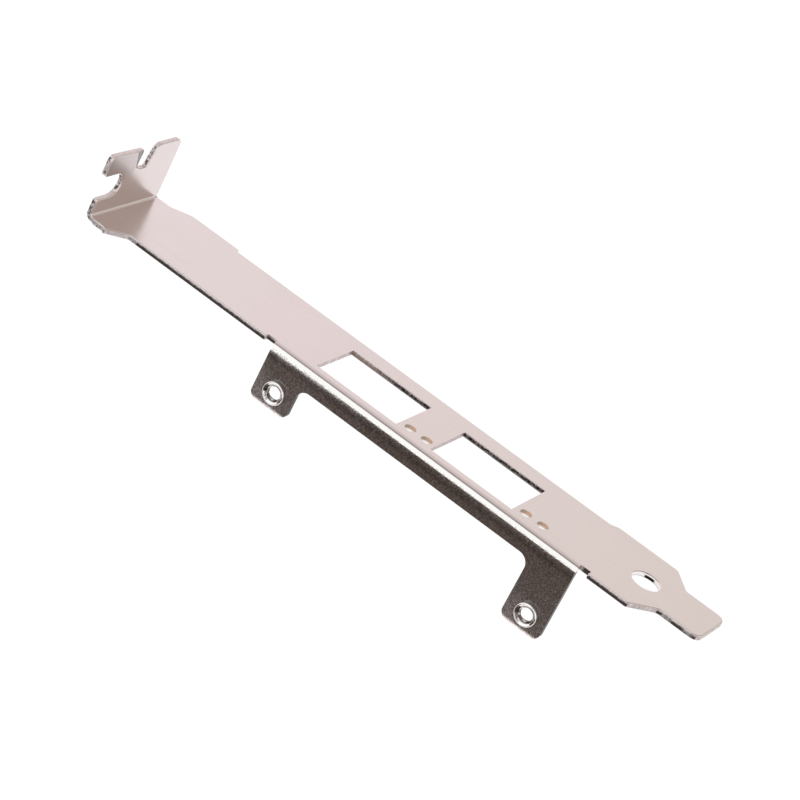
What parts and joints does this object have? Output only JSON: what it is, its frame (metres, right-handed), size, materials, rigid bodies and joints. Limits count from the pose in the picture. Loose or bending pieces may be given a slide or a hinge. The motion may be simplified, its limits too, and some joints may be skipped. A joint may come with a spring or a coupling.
{
  "type": "full height pci bracket",
  "caption": "Folded sheet-metal expansion-card bracket: notched screw tab at the head, port cut-outs and indicator holes along the strip, board flange with threaded collars, narrow tongue.",
  "frame": {"origin": "centre of the retaining screw in the tab's notch, on the tab's seat face", "axes": "+X from the tab down the strip to the tongue, +Y across the strip from the flange edge to the far edge, +Z out of the strip's outer face, the way the tab is folded"},
  "size_m": [0.1201, 0.0219, 0.0264],
  "materials": {
    "nickel_plate": "satin"
  },
  "bodies": {
    "root": {"bracket": "nickel_plate"}
  },
  "joints": []
}
